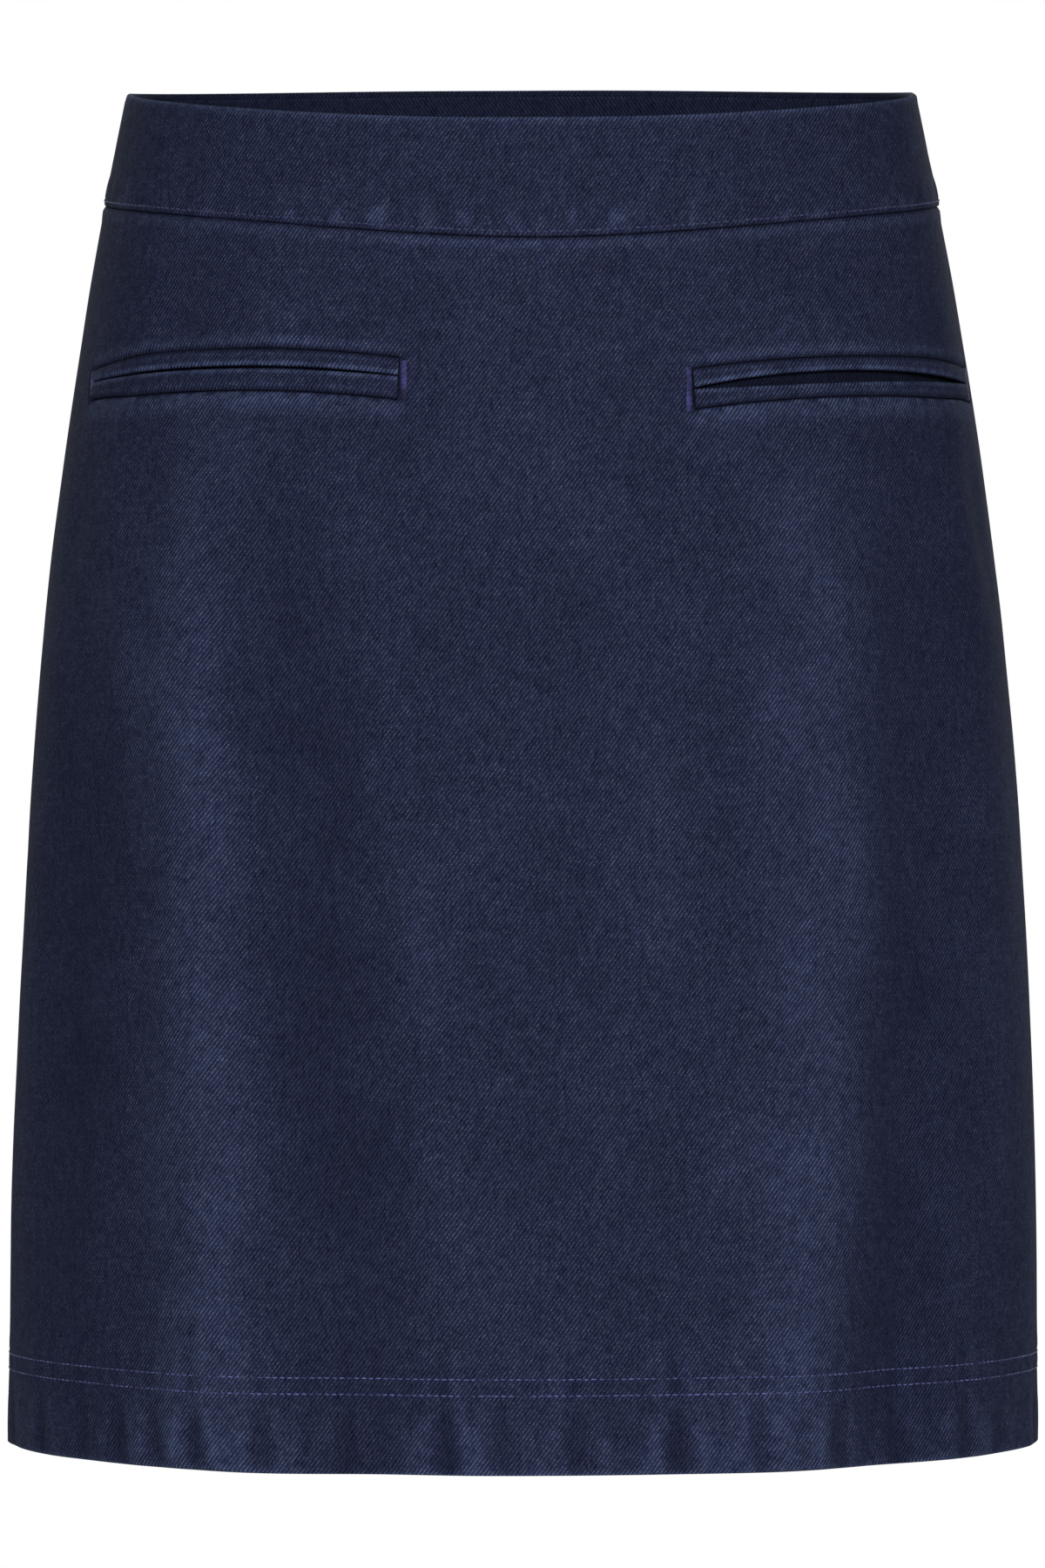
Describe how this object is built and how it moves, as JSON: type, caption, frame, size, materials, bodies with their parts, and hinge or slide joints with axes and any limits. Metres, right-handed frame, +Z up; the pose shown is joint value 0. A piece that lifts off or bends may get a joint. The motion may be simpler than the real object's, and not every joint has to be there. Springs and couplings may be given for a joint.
{
  "type": "denim skirt",
  "caption": "A-line denim mini skirt in its hollow worn form, with a shaped waistband, double-welt hip pockets, a twin-stitched hem and a concealed side zip whose pull tab swings.",
  "frame": {"origin": "middle of the waist opening, 4 mm below the top of the waistband at the side seams", "axes": "+Z up the body, -Y the front of the skirt, +X the wearer's left"},
  "size_m": [0.3518, 0.2869, 0.4736],
  "materials": {
    "denim": "dark indigo right-hand twill, matt",
    "inside_denim": "dark indigo twill in shade, matt",
    "pocketing": "dark blue plain weave, matt",
    "zip_tape": "dark blue woven tape, matt",
    "zip_metal": "dark blue lacquered zinc, satin"
  },
  "bodies": {
    "skirt": {"front_panel": "denim", "back_panel": "denim", "waistband_front": "denim", "waistband_back": "denim", "waistband_facing_front": "inside_denim", "waistband_facing_back": "inside_denim", "pocket_right_upper_lip": "denim", "pocket_right_lower_lip": "denim", "pocket_right_bag": "pocketing", "pocket_left_upper_lip": "denim", "pocket_left_lower_lip": "denim", "pocket_left_bag": "pocketing", "zip_tape": "zip_tape", "zip_slider": "zip_metal"},
    "pull": {"zip_pull": "zip_metal"}
  },
  "joints": [
    {"name": "pull_hinge", "type": "hinge", "parent": "skirt", "child": "pull", "pos_m": [0.13913, 0.01983, -0.00832], "axis": [0.2221, -0.975, 0], "range_deg": [0, 150]}
  ]
}
